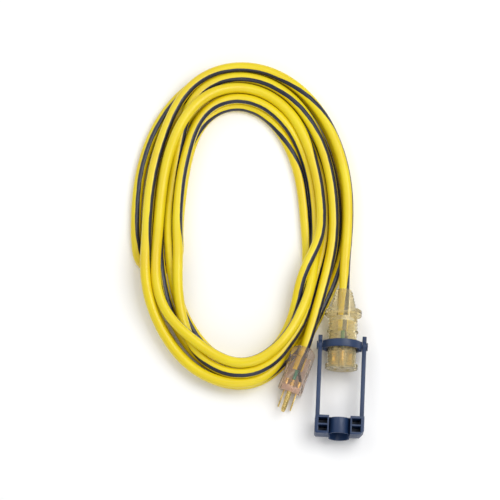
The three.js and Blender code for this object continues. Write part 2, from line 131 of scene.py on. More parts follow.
# where the stripe faces, in degrees from straight up towards the outside of the coil
STRIPE = {
    "ra": 75, "ta": -45, "lb": -50, "ku": -130, "bu": -200, "qu": -250, "r1": -310, "l0": -370, "f0": -400,
    "rp": 50, "tb": -45, "l3": -50, "rd": 50, "tc": 150, "ld": 175, "kt": 280, "bt": 278, "qt": 270,
    "r3": 300, "t3": 315, "le": 310, "ks": 210, "bs": 55, "qs": 50, "r2": 50, "t2": 180, "l2": 310,
    "r4": 410, "t4": 300, "l4": 380, "f4": 400,
}
NODE = 4.5                         # spacing of the solver's points
SETTLE_STEPS, QUICK_STEPS = 300, 40
CONTACT_PASSES = 5
HELD_AT_START, HELD_AT_END = 18, 14    # points of the leads that the solver leaves in place


def in_plug(x, y, z):
    return tuple(PLUG @ Vector((x, y, z)))


# the leads' last number is the stripe's angle
CONNECTOR_LEAD = [
    (0, JACKET_END_Y, AXIS_Z, 15), (0, 55, AXIS_Z, 20), (0, 80.4, AXIS_Z, 40), (-0.4, 92, 18.8, 60),
]
IN_PLUG_LEAD = ((PLUG_JACKET_Y, -15), (33, -20), (46, -50))
PLUG_LEAD = [(*in_plug(0, y, PLUG_CORD_Z), angle) for y, angle in IN_PLUG_LEAD]
PLUG_LEAD += [(-29.8, 43, 19.5, -60), (-23.2, 70, 18.6, -55)]


def radius_by_angle(points):
    """a closed outline as radius against angle about the coil's centre, smoothed"""
    offset = np.array(points, float) - COIL_CENTRE
    angle = np.arctan2(offset[:, 1], offset[:, 0])
    order = np.argsort(angle)
    angle, radius = angle[order], np.hypot(*offset[order].T)
    angle = np.concatenate([angle - 2 * math.pi, angle, angle + 2 * math.pi])
    grid = np.linspace(-math.pi, math.pi, 721)
    value = np.interp(grid[:-1], angle, np.tile(radius, 3))
    reach = 24
    kernel = np.exp(-0.5 * (np.arange(-reach, reach + 1) / 8) ** 2)
    kernel /= kernel.sum()
    value = np.convolve(np.concatenate([value[-reach:], value, value[:reach]]), kernel, "valid")
    return grid, np.append(value, value[0])


OUTER_OVAL, INNER_OVAL = radius_by_angle(OUTER), radius_by_angle(INNER)


def on_ring(angle, lane):
    turn = (angle + math.pi) % (2 * math.pi) - math.pi
    outer = np.interp(turn, *OUTER_OVAL) - CORD_R
    inner = np.interp(turn, *INNER_OVAL) + CORD_R
    radius = outer + (inner - outer) * lane
    return COIL_CENTRE[0] + radius * np.cos(angle), COIL_CENTRE[1] + radius * np.sin(angle)


def ease(t):
    t = np.clip(t, 0, 1)
    return t * t * (3 - 2 * t)


def wound_half(names, hand):
    """one half of the cord, from its end of the coil to the fold: x, y, z and the stripe's angle"""
    stations, faced = [], []
    turns = -1
    for name in names.split():
        turns += name[0] == "r"
        for degrees in SPAN[name[0]]:
            stations.append((math.radians(degrees + 360 * turns), *SLOTS[name]))
            if name in STRIPE:
                faced.append((stations[-1][0], hand * STRIPE[name]))
    at, lane, height = np.array(stations).T
    angle = np.arange(at[0] - math.radians(4), at[-1], math.radians(1.5))
    k = np.clip(np.searchsorted(at, angle, side="right") - 1, 0, len(at) - 2)
    t = ease((angle - at[k]) / (at[k + 1] - at[k]))
    lane = lane[k] + (lane[k + 1] - lane[k]) * t
    height = height[k] + (height[k + 1] - height[k]) * t
    # earlier turns pass over the fold
    fold = math.radians(SPAN["f"][1] + 4)
    away = (angle - fold + math.pi) % (2 * math.pi) - math.pi
    lift = 2 * CORD_R * np.exp(-(away / math.radians(13)) ** 4)
    lift[angle > 2 * math.pi * turns] = 0
    return np.column_stack([*on_ring(angle, lane), height + lift, np.interp(angle, *np.array(faced).T)])


def resample(points, step):
    """points a step apart along x, y and z, with any further columns carried along"""
    gaps = np.linalg.norm(np.diff(points[:, :3], axis=0), axis=1)
    along = np.concatenate([[0], np.cumsum(gaps)])
    places = np.linspace(0, along[-1], int(round(along[-1] / step)) + 1)
    return np.column_stack([np.interp(places, along, column) for column in points.T])


def eased_line(points, times):
    points = points.copy()
    for _ in range(times):
        points[2:-2] = 0.25 * points[1:-3] + 0.5 * points[2:-2] + 0.25 * points[3:-1]
    return points


def first_route():
    """both halves joined by a half-round fold on the floor, and the fold's place in the list"""
    one, other = wound_half(CONNECTOR_HALF, 1), wound_half(PLUG_HALF, -1)
    ahead = (one[-1] - one[-3])[:3] + (other[-1] - other[-3])[:3]
    ahead[2] = 0
    ahead /= np.linalg.norm(ahead)
    while (one[-1] - other[-1])[:3] @ ahead > 0.5:
        one = one[:-1]
    while (other[-1] - one[-1])[:3] @ ahead > 0.5:
        other = other[:-1]
    middle = (one[-1] + other[-1]) / 2
    half = (other[-1] - one[-1])[:3] / 2
    radius = np.linalg.norm(half)
    bow = np.linspace(0, math.pi, 16)[1:-1]
    arc = [middle[:3] - half * math.cos(a) + ahead * radius * math.sin(a) for a in bow]
    arc = np.column_stack([arc, np.full(len(bow), middle[3])])
    whole = np.vstack([CONNECTOR_LEAD, one, arc, other[::-1], PLUG_LEAD[::-1]])
    points = resample(eased_line(resample(whole, NODE), 4), NODE)
    tip = middle[:3] + ahead * radius
    fold = int(np.argmin(np.linalg.norm(points[:, :3] - tip, axis=1)))
    return points, fold, int(round((math.pi * radius / 2 + 12) / NODE))


def keep_clear(points, free):
    """pushes points out of the plug's body, and out of the connector"""
    turn = np.array(PLUG.to_3x3())
    local = (points - np.array(PLUG_FACE)) @ turn
    side = 12.4 + CORD_R
    along = np.clip(local[:, 1] / 43, 0, 1)
    low = -7.2 + 4.9 * along - CORD_R
    high = 17.6 - 4.3 * along + CORD_R
    inside = free & (np.abs(local[:, 0]) < side) & (local[:, 1] > -CORD_R) & (local[:, 1] < 48)
    inside &= (local[:, 2] > low) & (local[:, 2] < high)
    k = np.nonzero(inside)[0]
    under = (local[k, 1] > 25) & (local[k, 2] - low[k] < local[k, 0] + side)
    local[k[~under], 0] = -side
    local[k[under], 2] = low[k[under]]
    points[k] = np.array(PLUG_FACE) + local[k] @ turn.T
    for start, end, radius in ((-12, 60, 20.5), (60, 79, 9.5)):
        reach = radius + CORD_R
        rise = points[:, 2] - AXIS_Z
        hit = free & (points[:, 1] > start) & (points[:, 1] < end) & (np.hypot(points[:, 0], rise) < reach)
        points[hit, 0] = -np.sqrt(np.maximum(reach**2 - rise[hit] ** 2, 0))
    return points


def settle(points, fold, held, steps):
    """weight, contact with itself and the floor, and stiffness, while drawn back to its lanes"""
    weight, pull = 0.04, 0.05
    count = len(points)
    target = points.copy()
    free = np.ones(count, bool)
    free[:HELD_AT_START] = free[-HELD_AT_END:] = free[fold - held : fold + held + 1] = False
    moves = free.astype(float)[:, None]
    index = np.arange(count)
    apart = math.ceil(6 * CORD_R / NODE)
    for step in range(steps):
        if step % 8 == 0:
            flat = points.astype(np.float32)
            square = (flat * flat).sum(1)
            distance = square[:, None] + square[None, :] - 2 * flat @ flat.T
            i, j = np.nonzero(distance < (2 * CORD_R + 5) ** 2)
            far = (j - i) > apart
            i, j = i[far], j[far]
        points[:, 2] -= weight * free * (1 if step < 0.8 * steps else 0.3)
        points[:, :2] += (pull * (target - points)[:, :2]) * moves
        for _ in range(CONTACT_PASSES):
            gap = points[j] - points[i]
            length = np.linalg.norm(gap, axis=1)
            hit = length < 2 * CORD_R
            a, b = i[hit], j[hit]
            push = 0.4 * ((2 * CORD_R - length[hit]) / np.maximum(length[hit], 1e-6))[:, None] * gap[hit]
            total, times = np.zeros_like(points), np.zeros(count)
            np.add.at(total, a, -push)
            np.add.at(total, b, push)
            np.add.at(times, a, 1)
            np.add.at(times, b, 1)
            points += total / np.maximum(np.sqrt(times), 1)[:, None] * moves
            for start in (0, 1):
                a = index[start:-1:2]
                b = a + 1
                edge = points[b] - points[a]
                length = np.linalg.norm(edge, axis=1)
                share = np.maximum(moves[a] + moves[b], 1e-9)
                change = edge * ((length - NODE) / length)[:, None] / share
                points[a] += change * moves[a]
                points[b] -= change * moves[b]
            for wide, stiff in ((3, 0.03), (1, 0.05)):
                bend = np.zeros_like(points)
                bend[2 * wide : -2 * wide] = (
                    points[: -4 * wide] - 4 * points[wide : -3 * wide] + 6 * points[2 * wide : -2 * wide]
                    - 4 * points[3 * wide : -wide] + points[4 * wide :]
                )
                points -= stiff * bend * moves
            points = keep_clear(points, free)
            points[free, 2] = np.maximum(points[free, 2], CORD_R)
    return points


def cord_route():
    """the settled centreline, with the stripe's angle as a last column"""
    first, fold, held = first_route()
    steps = SETTLE_STEPS
    settled = settle(first[:, :3].copy(), fold, held, steps)
    return np.column_stack([eased_line(settled, 2), first[:, 3]])


# ---- mesh helpers --------------------------------------------------------------------------
def add_object(name, mesh, material, body=ROOT, smooth_angle=40):
    made = bpy.data.objects.new(name, mesh)
    bpy.context.scene.collection.objects.link(made)
    mesh.materials.clear()
    mesh.materials.append(material)
    for face in mesh.polygons:
        face.use_smooth = True
    mesh.set_sharp_from_angle(angle=math.radians(smooth_angle))
    if body:
        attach(made, body)
    return made


def build(points, faces, place=Matrix.Identity(4)):
    """a mesh in metres from points in millimetres, with doubled points merged"""
    made = bmesh.new()
    corners = [made.verts.new((place @ Vector(p)) * MM) for p in points]
    for face in faces:
        made.faces.new([corners[i] for i in face])
    bmesh.ops.remove_doubles(made, verts=made.verts, dist=1e-7)
    bmesh.ops.dissolve_degenerate(made, dist=1e-7, edges=made.edges)
    bmesh.ops.recalc_face_normals(made, faces=made.faces)
    mesh = bpy.data.meshes.new("mesh")
    made.to_mesh(mesh)
    made.free()
    return mesh


def rounded(outline, steps=4):
    """a closed outline of (x, y, corner radius) with its corners turned into arcs"""
    out = []
    count = len(outline)
    for k, (x, y, radius) in enumerate(outline):
        here = Vector((x, y))
        if radius <= 0:
            out.append((x, y))
            continue
        before = Vector(outline[k - 1][:2]) - here
        after = Vector(outline[(k + 1) % count][:2]) - here
        angle = before.angle(after)
        cut = radius / math.tan(angle / 2)
        cut = min(cut, 0.49 * before.length, 0.49 * after.length)
        start, end = here + before.normalized() * cut, here + after.normalized() * cut
        for s in range(steps + 1):
            t = s / steps
            out.append(tuple(start * (1 - t) ** 2 + here * 2 * t * (1 - t) + end * t**2))
    return out


def turned(profile, segments=96, place=Matrix.Identity(4), axis="Y"):
    """a closed profile of (radius, along) turned about Y, or about X"""
    points, faces = [], []
    count = len(profile)
    for s in range(segments):
        angle = 2 * math.pi * s / segments
        for radius, along in profile:
            a, b = radius * math.cos(angle), radius * math.sin(angle)
            points.append((a, along, b) if axis == "Y" else (along, a, b))
    for s in range(segments):
        t = (s + 1) % segments
        for k in range(count):
            m = (k + 1) % count
            if profile[k][0] == profile[m][0] == 0:
                continue
            faces.append((s * count + k, s * count + m, t * count + m, t * count + k))
    return build(points, faces, place)


def lofted(rings, place=Matrix.Identity(4), closed=False):
    """skin over rings of equal length, with end caps unless the last ring joins the first"""
    size = len(rings[0])
    points = [p for ring in rings for p in ring]
    faces = []
    count = len(rings)
    for r in range(count if closed else count - 1):
        n = (r + 1) % count
        for k in range(size):
            m = (k + 1) % size
            faces.append((r * size + k, r * size + m, n * size + m, n * size + k))
    if not closed:
        faces.append(tuple(range(size)))
        faces.append(tuple((count - 1) * size + k for k in range(size)))
    return build(points, faces, place)


def prism(outline, low, high, place=Matrix.Identity(4), axis="Z"):
    """an outline extruded along Z, or an outline in Y and Z extruded along X"""
    if axis == "Z":
        rings = [[(x, y, z) for x, y in outline] for z in (low, high)]
    else:
        rings = [[(x, y, z) for y, z in outline] for x in (low, high)]
    return lofted(rings, place)


def block(low, high, place=Matrix.Identity(4)):
    (x0, y0, z0), (x1, y1, z1) = low, high
    return prism([(x0, y0), (x1, y0), (x1, y1), (x0, y1)], z0, z1, place)


def joined(meshes):
    """several meshes as one, without a boolean"""
    made = bmesh.new()
    for mesh in meshes:
        made.from_mesh(mesh)
    out = bpy.data.meshes.new("mesh")
    made.to_mesh(out)
    made.free()
    return out


def shaped(mesh, add=(), cut=(), bevel=0.0, segments=3, angle=35):
    """booleans, then a bevel in millimetres on the edges that stay sharp"""
    base = bpy.data.objects.new("base", mesh)
    bpy.context.scene.collection.objects.link(base)
    tools = []
    for operation, meshes in (("UNION", add), ("DIFFERENCE", cut)):
        for tool_mesh in meshes:
            tool = bpy.data.objects.new("tool", tool_mesh)
            bpy.context.scene.collection.objects.link(tool)
            tools.append(tool)
            step = base.modifiers.new("boolean", "BOOLEAN")
            step.operation = operation
            step.solver = "EXACT"
            step.object = tool
    if bevel:
        step = base.modifiers.new("bevel", "BEVEL")
        step.width = bevel * MM
        step.segments = segments
        step.limit_method = "ANGLE"
        step.angle_limit = math.radians(angle)
        step.harden_normals = False
    graph = bpy.context.evaluated_depsgraph_get()
    out = bpy.data.meshes.new_from_object(base.evaluated_get(graph))
    for used in [base, *tools]:
        bpy.data.objects.remove(used)
    return out


def spline(points, per_span):
    """points along a Catmull-Rom curve through the given ones"""
    p = np.array(points, float)
    p = np.vstack([2 * p[0] - p[1], p, 2 * p[-1] - p[-2]])
    out = []
    for k in range(1, len(p) - 2):
        for t in np.linspace(0, 1, per_span, endpoint=False):
            a, b = 2 * p[k], p[k + 1] - p[k - 1]
            c = 2 * p[k - 1] - 5 * p[k] + 4 * p[k + 1] - p[k + 2]
            d = -p[k - 1] + 3 * p[k] - 3 * p[k + 1] + p[k + 2]
            out.append((a + b * t + c * t * t + d * t**3) / 2)
    return np.array(out + [p[-2]])


def tube(points, radius, sides=20, place=Matrix.Identity(4)):
    """a round bar along points, with slightly rounded ends"""
    points = np.array(points, float)
    heading = np.gradient(points, axis=0)
    heading /= np.linalg.norm(heading, axis=1)[:, None]
    across = np.cross(heading[0], (0.3, 0.1, 1))
    rings = []
    last = len(points) - 1
    for k, (centre, ahead) in enumerate(zip(points, heading)):
        across = across - ahead * (across @ ahead)
        across /= np.linalg.norm(across)
        up = np.cross(ahead, across)
        sizes = [1]
        if k == 0:
            sizes = [0.8, 1]
        if k == last:
            sizes = [1, 0.8]
        for size in sizes:
            edge = 0
            if size == 1 and k in (0, last):
                edge = ahead * radius * (0.15 if k == 0 else -0.15)
            ring = [
                tuple(centre + edge + radius * size * (across * math.cos(a) + up * math.sin(a)))
                for a in np.linspace(0, 2 * math.pi, sides, endpoint=False)
            ]
            rings.append(ring)
    return lofted(rings, place)


# ---- materials -----------------------------------------------------------------------------
def linear(red, green, blue):
    """a colour from 0-255 display values"""
    out = []
    for c in (red, green, blue):
        out.append(c / 255 / 12.92 if c <= 10 else ((c / 255 + 0.055) / 1.055) ** 2.4)
    return (*out, 1)


def node(tree, kind, **settings):
    made = tree.nodes.new(kind)
    for key, value in settings.items():
        if key in made.inputs:
            made.inputs[key].default_value = value
        else:
            setattr(made, key, value)
    return made


def new_material(name, colour, roughness, metallic=0.0):
    made = bpy.data.materials.new(name)
    made.use_nodes = True
    shader = made.node_tree.nodes["Principled BSDF"]
    shader.inputs["Base Color"].default_value = colour
    shader.inputs["Roughness"].default_value = roughness
    shader.inputs["Metallic"].default_value = metallic
    return made, made.node_tree, shader


def place_node(tree):
    return node(tree, "ShaderNodeTexCoord").outputs["Object"]


def noise(tree, scale, detail=4.0, where=None):
    made = node(tree, "ShaderNodeTexNoise", Scale=scale, Detail=detail)
    tree.links.new(where or place_node(tree), made.inputs["Vector"])
    return made.outputs["Fac"]


def spread(tree, value, low, high, start=0.3, end=0.7):
    """value from start..end to low..high"""
    made = node(tree, "ShaderNodeMapRange")
    tree.links.new(value, made.inputs["Value"])
    for key, number in (("From Min", start), ("From Max", end), ("To Min", low), ("To Max", high)):
        made.inputs[key].default_value = number
    return made.outputs["Result"]


def tinted(tree, value, one, other):
    """a colour between two, by value"""
    made = node(tree, "ShaderNodeMix", data_type="RGBA")
    made.inputs[6].default_value = one
    made.inputs[7].default_value = other
    tree.links.new(value, made.inputs[0])
    return made.outputs[2]


def bumped(tree, shader, height, strength, depth):
    made = node(tree, "ShaderNodeBump", Strength=strength, Distance=depth)
    tree.links.new(height, made.inputs["Height"])
    tree.links.new(made.outputs["Normal"], shader.inputs["Normal"])


def moulded(name, colour, roughness, shade=0.8, grain=900, depth=0.00008):
    """moulded plastic: fine grain, uneven gloss and faint flow marks"""
    made, tree, shader = new_material(name, colour, roughness)
    dark = tuple(c * shade for c in colour[:3]) + (1,)
    tint = tinted(tree, spread(tree, noise(tree, 60), 0, 1), dark, colour)
    tree.links.new(tint, shader.inputs["Base Color"])
    rough = spread(tree, noise(tree, 220), roughness - 0.06, roughness + 0.1)
    tree.links.new(rough, shader.inputs["Roughness"])
    bumped(tree, shader, noise(tree, grain, 3), 0.35, depth)
    return made


def clear_plastic(name, colour, roughness, haze, ior=1.42):
    """clear moulding: tinted glass with a little haze, flow marks and uneven gloss"""
    made, tree, shader = new_material(name, colour, roughness)
    shader.inputs["Transmission Weight"].default_value = 1 - haze
    shader.inputs["IOR"].default_value = ior
    rough = spread(tree, noise(tree, 120), roughness, roughness + 0.12)
    tree.links.new(rough, shader.inputs["Roughness"])
    deep = tuple(c * 0.93 for c in colour[:3]) + (1,)
    tint = tinted(tree, spread(tree, noise(tree, 35), 0, 1), deep, colour)
    tree.links.new(tint, shader.inputs["Base Color"])
    bumped(tree, shader, noise(tree, 160, 3), 0.2, 0.0002)
    return made


def pressed_metal(name, colour, roughness):
    """stamped brass or tinned wire: drawn lines and slight tarnish"""
    made, tree, shader = new_material(name, colour, roughness, 1.0)
    tarnish = tuple(c * 0.6 for c in colour[:3]) + (1,)
    tint = tinted(tree, spread(tree, noise(tree, 400), 0, 0.7), colour, tarnish)
    tree.links.new(tint, shader.inputs["Base Color"])
    rough = spread(tree, noise(tree, 700), roughness - 0.08, roughness + 0.14)
    tree.links.new(rough, shader.inputs["Roughness"])
    bumped(tree, shader, noise(tree, 1800, 2), 0.25, 0.00004)
    return made


STRIPE_HALF = 0.07                 # of the way round the jacket


def jacket_material():
    """yellow PVC with an extruded navy stripe along UV's u = 0.5, and a fine pebbled skin"""
    made, tree, shader = new_material("cord_jacket", linear(230, 205, 12), 0.36)
    around = node(tree, "ShaderNodeUVMap", uv_map="UVMap")
    parts = node(tree, "ShaderNodeSeparateXYZ")
    tree.links.new(around.outputs["UV"], parts.inputs["Vector"])
    wander = spread(tree, noise(tree, 90, 2), -0.006, 0.006)
    moved = node(tree, "ShaderNodeMath", operation="ADD")
    tree.links.new(parts.outputs["X"], moved.inputs[0])
    tree.links.new(wander, moved.inputs[1])
    offset = node(tree, "ShaderNodeMath", operation="SUBTRACT")
    tree.links.new(moved.outputs["Value"], offset.inputs[0])
    offset.inputs[1].default_value = 0.5
    size = node(tree, "ShaderNodeMath", operation="ABSOLUTE")
    tree.links.new(offset.outputs["Value"], size.inputs[0])
    stripe = spread(tree, size.outputs["Value"], 1, 0, STRIPE_HALF - 0.004, STRIPE_HALF + 0.004)
    patches = spread(tree, noise(tree, 25), 0, 1)
    yellow = tinted(tree, patches, linear(226, 197, 8), linear(233, 213, 16))
    both = node(tree, "ShaderNodeMix", data_type="RGBA")
    tree.links.new(stripe, both.inputs[0])
    tree.links.new(yellow, both.inputs[6])
    both.inputs[7].default_value = linear(24, 30, 52)
    tree.links.new(both.outputs[2], shader.inputs["Base Color"])
    tree.links.new(spread(tree, noise(tree, 300), 0.3, 0.46), shader.inputs["Roughness"])
    shader.inputs["Coat Weight"].default_value = 0.15
    shader.inputs["Coat Roughness"].default_value = 0.25
    shader.inputs["Subsurface Weight"].default_value = 0.08
    shader.inputs["Subsurface Radius"].default_value = (1, 0.6, 0.1)
    shader.inputs["Subsurface Scale"].default_value = 0.001
    bumped(tree, shader, noise(tree, 1300, 3), 0.3, 0.00006)
    return made


JACKET = jacket_material()
NAVY = moulded("blue_plastic", linear(24, 50, 88), 0.42)
AMBER = clear_plastic("clear_amber", linear(255, 244, 207), 0.10, 0.12, 1.22)
CLEAR = clear_plastic("clear_plug", linear(255, 240, 229), 0.07, 0.06, 1.25)
BRASS = pressed_metal("brass", linear(238, 210, 135), 0.24)
TINNED = pressed_metal("lamp_lead", linear(205, 200, 190), 0.28)
BLACK = moulded("wire_black", linear(30, 30, 34), 0.4, 0.7)
WHITE = moulded("wire_white", linear(226, 222, 212), 0.4, 0.92)
GREEN = moulded("wire_green", linear(30, 140, 116), 0.38, 0.8)
CARRIER = clear_plastic("carrier_plastic", linear(250, 227, 212), 0.25, 0.5)
LAMP = clear_plastic("lamp_glass", linear(246, 150, 60), 0.08, 0.2)


# ---- cord ----------------------------------------------------------------------------------
def make_cord():
    line = resample(spline(cord_route(), 3), 3.8)
    route, facing = line[:, :3], np.radians(line[:, 3])
    count = len(route)
    heading = np.gradient(route, axis=0)
    heading /= np.linalg.norm(heading, axis=1)[:, None]
    wander = np.linspace(0, 40, count)
    facing = facing + 0.12 * np.sin(wander * 2.3) + 0.1 * np.sin(wander * 5.1)
    sides = 28
    points, faces, around = [], [], []
    for k in range(count):
        outward = np.cross(heading[k], (0, 0, 1))
        outward /= np.linalg.norm(outward)
        up = np.cross(outward, heading[k])
        for s in range(sides):
            angle = facing[k] + 2 * math.pi * (s / sides - 0.5)
            points.append(route[k] + CORD_R * (up * math.cos(angle) + outward * math.sin(angle)))
    for k in range(count - 1):
        for s in range(sides):
            t = (s + 1) % sides
            faces.append((k * sides + s, k * sides + t, (k + 1) * sides + t, (k + 1) * sides + s))
            around.append(s)
    for end in (0, count - 1):
        faces.append(tuple(end * sides + s for s in range(sides)))
    mesh = bpy.data.meshes.new("mesh")
    mesh.from_pydata([tuple(p * MM) for p in points], [], faces)
    layer = mesh.uv_layers.new(name="UVMap")
    for face, s in zip(mesh.polygons, around):
        k = face.vertices[0] // sides
        corners = ((s, k), (s + 1, k), (s + 1, k + 1), (s, k + 1))
        for loop, (u, v) in zip(face.loop_indices, corners):
            layer.data[loop].uv = (u / sides, v / count)
    check = bmesh.new()
    check.from_mesh(mesh)
    bmesh.ops.recalc_face_normals(check, faces=check.faces)
    check.to_mesh(mesh)
    check.free()
    cord = add_object("cord", mesh, JACKET, ROOT, 60)
    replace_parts(cord, "cord_coil", "cord_lead_connector", "cord_lead_plug")
    return cord, route


cord, route = make_cord()


# ---- connector -----------------------------------------------------------------------------
def ribs(start, end, pitch, inner, outer):
    """rounded rings along a turned profile, as (radius, along) points"""
    out = []
    count = int((end - start) / pitch)
    for k in range(count):
        y = start + k * pitch
        for edge, part in ((inner, 0.12), (outer, 0.35), (outer, 0.75), (inner, 0.95)):
            out.append((edge(y), y + part * pitch))
    return out


def connector_shell():
    relief = lambda y: 7.4 + (RELIEF_END_Y - y) / 19.6 * 5
    barrel_ribs = ribs(1.5, 30.5, 3.5, lambda y: 14, lambda y: 14.45)
    grip_ribs = ribs(35.2, 48.4, 3.5, lambda y: 14, lambda y: 14.6)
    relief_ribs = ribs(58.8, 75, 3.0, lambda y: relief(y) - 0.5, relief)
    outline = [
        (12.9, FACE_Y, 0.3), (16.3, FACE_Y, 0.8), (16.3, FACE_Y + 1.6, 0.3), (15.8, FACE_Y + 2.1, 0.3),
        (16.3, FACE_Y + 2.6, 0.3), (16.3, -0.6, 0.6), (14, 0.6, 0.3),
        *[(r, y, 0.3) for r, y in barrel_ribs],
        (14, 31.4, 0.2), (15.7, 31.8, 0.5), (15.7, 33.7, 0.5), (14, 34.1, 0.2),
        *[(r, y, 0.3) for r, y in grip_ribs],
        (14, 51.6, 0.4), (17, 51.6, 0.3), (17, 49.6, 0.3), (17.3, 48.9, 0.2), (18.2, 48.9, 0.4),
        (18.5, 50, 0.4), (18.5, 54.4, 1), (16.6, 55.8, 0.8), (13, 56.4, 0.8), (relief(58), 58, 0.4),
        *[(r, y, 0.35) for r, y in relief_ribs],
        (7.2, RELIEF_END_Y - 0.8, 0.3), (7.2, RELIEF_END_Y, 0.3), (5.5, RELIEF_END_Y, 0.2),
        (5.5, 49, 0.6), (9, 46, 0.6), (12.9, 43, 0.8),
    ]
    mesh = turned(rounded(outline, 3), 96, CONNECTOR)
    made = add_object("connector_body", mesh, AMBER, ROOT, 50)
    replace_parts(made, "connector_shell")


def opened_disc(front, back, line, neutral, ground):
    """the front disc or the block behind it, with two slots and a round ground hole"""
    profile = rounded([(0, front, 0), (12.6, front, 0.5), (12.6, back, 0.5), (0, back, 0)])
    cuts = []
    for x, (wide, high) in ((BLADE_PITCH / 2, line), (-BLADE_PITCH / 2, neutral)):
        low = (x - wide / 2, front - 1, BLADE_LINE_Z - high / 2)
        cuts.append(block(low, (x + wide / 2, back + 1, BLADE_LINE_Z + high / 2), CONNECTOR))
    z = BLADE_LINE_Z + PIN_RISE
    hole = [(0, front - 1), (ground, front - 1), (ground, back + 1), (0, back + 1)]
    cuts.append(turned(hole, 40, CONNECTOR @ Matrix.Translation((0, 0, z))))
    return shaped(turned(profile, 80, CONNECTOR), cut=cuts, bevel=0.3, segments=2, angle=50)


def blade_contact(x):
    """two spring leaves with flared mouths, joined behind by a crimp barrel"""
    z = BLADE_LINE_Z
    leaf = [(-1.6, 1.5), (-0.6, 0.95), (4, 0.9), (9, 1.25), (13.4, 1.25)]
    sheets = []
    for side in (-1, 1):
        outline = [(x + side * w, y) for y, w in leaf]
        outline += [(x + side * (w + 0.45), y) for y, w in reversed(leaf)]
        sheets.append(prism(outline, z - 3.6, z + 3.6, CONNECTOR))
    sheets.append(block((x - 1.7, 12.9, z - 3.6), (x + 1.7, 13.5, z + 3.6), CONNECTOR))
    sheets.append(block((x - 1.8, 1.5, z + 3.5), (x + 1.8, 11.5, z + 4), CONNECTOR))
    barrel = rounded([(0, 13.3, 0), (1.5, 13.3, 0.2), (1.5, 17.5, 0.3), (0, 17.5, 0)])
    sheets.append(turned(barrel, 24, CONNECTOR @ Matrix.Translation((x, 0, z))))
    return shaped(joined(sheets), bevel=0.12, segments=2)


def ground_contact():
    profile = [
        (2.5, -1.5, 0.1), (3.1, -1.8, 0.2), (3, 13.5, 0.3), (1.4, 14, 0.3), (1.4, 17, 0.3), (0, 17, 0),
        (0, 13, 0), (2.5, 13, 0.2),
    ]
    return turned(rounded(profile, 3), 40, CONNECTOR @ Matrix.Translation((0, 0, BLADE_LINE_Z + PIN_RISE)))


FAN = {"line": -math.pi / 6, "ground": math.pi / 2, "neutral": -math.pi * 5 / 6}


def wire(kind, start, tail, end_y, centre_z, radius, place):
    """an insulated conductor from a crimp to the stripped end of the jacket"""
    x, z = start
    cx = WIRE_ORBIT * math.cos(FAN[kind])
    cz = centre_z + WIRE_ORBIT * math.sin(FAN[kind])
    path = [
        (x, tail, z), (x, tail + 1.5, z), ((x + cx) / 2, (tail + end_y) / 2, (z + cz) / 2),
        (cx, end_y - 2.5, cz), (cx, end_y + 1, cz),
    ]
    return tube(spline(path, 6), radius, 20, place)


# kind, place across the axis, material and slot of the two flat-blade circuits
CIRCUITS = (
    ("line", BLADE_PITCH / 2, BLACK, "wire_black"),
    ("neutral", -BLADE_PITCH / 2, WHITE, "wire_white"),
)


def make_connector():
    connector_shell()
    mesh = opened_disc(FACE_Y, FACE_Y + 2.5, (2.2, 6.9), (2.2, 8.1), 2.7)
    face = add_object("face_disc", mesh, AMBER, ROOT, 50)
    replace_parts(face, "connector_face")
    mesh = opened_disc(FACE_Y + 2.8, 12, (4.2, 8.6), (4.2, 8.6), 3.3)
    carrier = add_object("inner_block", mesh, AMBER, ROOT, 50)
    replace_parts(carrier, "contact_block")
    for kind, x, colour, slot in CIRCUITS:
        contact = add_object(kind + "_clip", blade_contact(x), BRASS, ROOT)
        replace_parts(contact, kind + "_contact")
        mesh = wire(kind, (x, BLADE_LINE_Z), 16.6, JACKET_END_Y, 0, WIRE_R, CONNECTOR)
        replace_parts(add_object(kind + "_conductor", mesh, colour, ROOT, 60), f"connector_{kind}_wire")
    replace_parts(add_object("ground_sleeve", ground_contact(), BRASS, ROOT), "ground_contact")
    mesh = wire("ground", (0, BLADE_LINE_Z + PIN_RISE), 16.2, JACKET_END_Y, 0, WIRE_R, CONNECTOR)
    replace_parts(add_object("ground_conductor", mesh, GREEN, ROOT, 60), "connector_ground_wire")
    place = CONNECTOR @ Matrix.Translation((6.2, 17, 6.6))
    bulb = rounded([(0, 0, 0), (1.5, 0, 0.5), (1.5, 6.4, 1), (0.7, 8, 0.4), (0, 8, 0)], 5)
    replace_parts(add_object("lamp_bulb", turned(bulb, 32, place), LAMP, ROOT), "indicator_lamp")
    leads = (
        ("line", [(7.1, 17.2, 6.6), (9, 15.2, 4), (9.6, 15, 0), (7.75, 15.2, BLADE_LINE_Z)]),
        ("neutral", [(5.3, 17.2, 6.6), (2, 13.9, 2), (-4, 13.9, 0.4), (-7, 14.4, -0.15)]),
    )
    for kind, path in leads:
        mesh = tube(spline(path, 6), 0.35, 12, CONNECTOR)
        lead = add_object(f"lamp_{kind}_lead", mesh, TINNED, ROOT)
        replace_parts(lead, f"lamp_lead_{kind}")


make_connector()


# ---- locking collar and bail ---------------------------------------------------------------
PIVOT = CONNECTOR @ Matrix.Translation((0, COLLAR_Y, 0))


